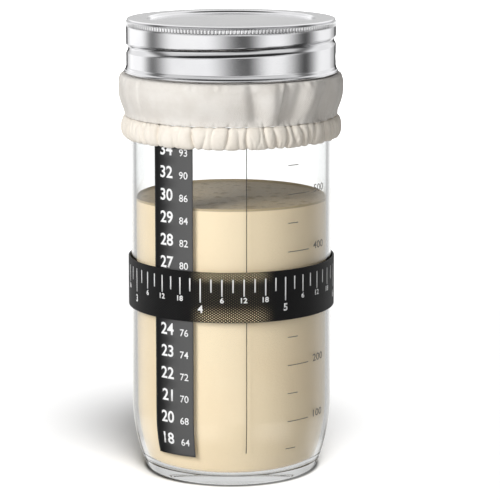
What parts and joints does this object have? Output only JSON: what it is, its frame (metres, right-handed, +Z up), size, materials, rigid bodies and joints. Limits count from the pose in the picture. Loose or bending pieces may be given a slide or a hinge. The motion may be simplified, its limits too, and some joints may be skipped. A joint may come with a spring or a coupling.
{
  "type": "sourdough starter jar",
  "caption": "Straight-walled glass jar of risen dough starter with a gathered cloth cover, pressed metal screw lid, stretchy time band and stick-on thermometer strip.",
  "frame": {"origin": "centre of the foot, on the surface that the jar stands on", "axes": "+Z up along the jar's axis, -Y towards the front, where the time band's marks are read at the upright line; the thermometer strip is on the front left and the volume scale on the front right"},
  "size_m": [0.0887, 0.0886, 0.1816],
  "materials": {
    "glass_jar": "clear, polished",
    "starter": "moist dough, cream",
    "lid_shell": "satin, lightly brushed",
    "lid_gasket": "matt silicone",
    "cloth_cover": "unbleached plain weave",
    "cloth_hem": "unbleached plain weave, gathered",
    "hem_elastic": "matt",
    "band_sleeve": "woven, printed white",
    "band_rubber": "matt",
    "thermometer_film": "satin film, printed white",
    "thermometer_glue": "clear glue"
  },
  "bodies": {
    "jar": {"glass_jar": "glass_jar", "starter": "starter", "cloth_cover": "cloth_cover", "cloth_hem": "cloth_hem", "hem_elastic": "hem_elastic", "thermometer_film": "thermometer_film", "thermometer_glue": "thermometer_glue"},
    "lid_seal": {"lid_gasket": "lid_gasket"},
    "lid": {"lid_shell": "lid_shell"},
    "band_core": {"band_rubber": "band_rubber"},
    "time_band": {"band_sleeve": "band_sleeve"}
  },
  "joints": [
    {"name": "lid_lift", "type": "slide", "parent": "jar", "child": "lid_seal", "axis": [0, 0, 1], "range_m": [0, 0.021]},
    {"name": "lid_turn", "type": "hinge", "parent": "lid_seal", "child": "lid", "pos_m": [0, 0, 0.17], "axis": [0, 0, 1], "range_deg": [0, 1080]},
    {"name": "band_slide", "type": "slide", "parent": "jar", "child": "band_core", "axis": [0, 0, 1], "range_m": [-0.038, 0.045]},
    {"name": "band_turn", "type": "hinge", "parent": "band_core", "child": "time_band", "pos_m": [0, 0, 0.077], "axis": [0, 0, 1], "continuous": true}
  ],
  "couplings": [
    {"joint": "lid_lift", "follows": "lid_turn", "m_per_rad": 0.001114}
  ]
}
